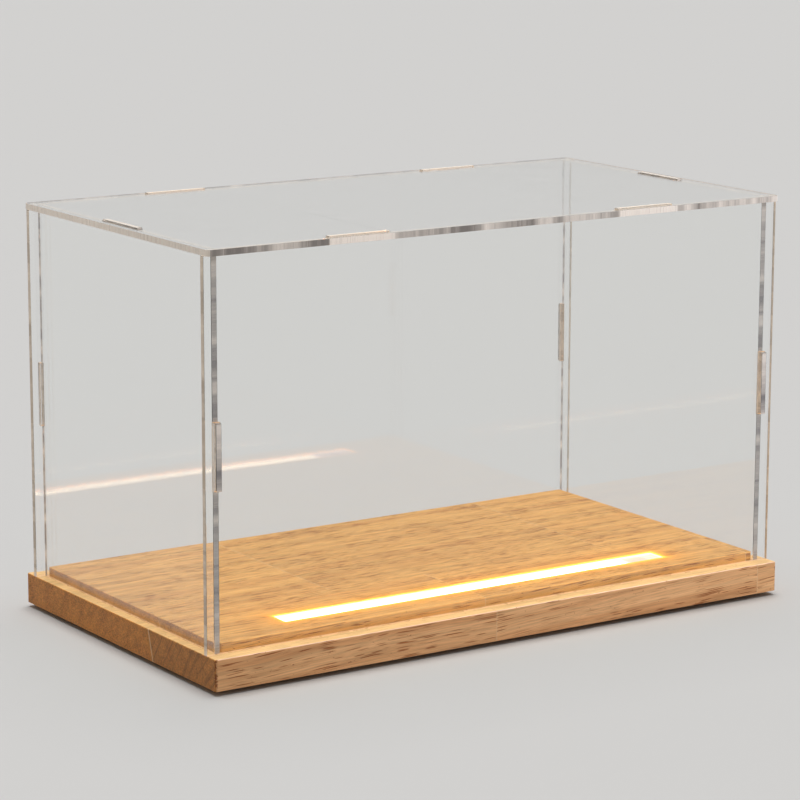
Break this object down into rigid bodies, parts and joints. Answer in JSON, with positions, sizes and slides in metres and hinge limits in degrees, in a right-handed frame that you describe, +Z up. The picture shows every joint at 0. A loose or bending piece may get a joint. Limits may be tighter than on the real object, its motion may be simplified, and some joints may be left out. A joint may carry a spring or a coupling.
{
  "type": "display case",
  "caption": "Clear tab-and-slot cover of flat panels over a wooden base with a raised platform and a lit channel along its front; the cover and its top lift off.",
  "frame": {"origin": "centre of the footprint, on the surface that the feet stand on", "axes": "+X to the right along the long front, +Y towards the back, +Z up; the lit channel is at the front, the power inlet at the back"},
  "size_m": [0.22, 0.125, 0.1369],
  "materials": {
    "wood": "satin",
    "clear_sheet": "polished",
    "opal": "satin",
    "white_film": "satin",
    "lamp": "gloss",
    "wire_red": "satin",
    "wire_black": "satin",
    "circuit_board": "satin",
    "bright_steel": "polished",
    "screw_steel": "satin",
    "black_plastic": "matte",
    "rubber": "matte"
  },
  "bodies": {
    "base": {"base_board": "wood", "underside_plate": "black_plastic", "plate_screws": "screw_steel", "foot_front_left": "rubber", "foot_front_right": "rubber", "foot_back_left": "rubber", "foot_back_right": "rubber", "led_board": "white_film", "led_chips": "lamp", "led_resistors": "black_plastic", "light_cover": "opal", "wire_red": "wire_red", "wire_black": "wire_black", "power_board": "circuit_board", "board_screws": "screw_steel", "usb_shell": "bright_steel", "usb_tongue": "black_plastic", "switch_body": "black_plastic"},
    "walls": {"front_panel": "clear_sheet", "back_panel": "clear_sheet", "left_panel": "clear_sheet", "right_panel": "clear_sheet"},
    "top": {"top_panel": "clear_sheet"},
    "slider": {"switch_slider": "black_plastic"}
  },
  "joints": [
    {"name": "cover_lift", "type": "slide", "parent": "base", "child": "walls", "axis": [0, 0, 1], "range_m": [0, 0.14]},
    {"name": "top_lift", "type": "slide", "parent": "walls", "child": "top", "axis": [0, 0, 1], "range_m": [0, 0.03]},
    {"name": "light_switch", "type": "slide", "parent": "base", "child": "slider", "axis": [1, 0, 0], "range_m": [0, 0.002]}
  ]
}
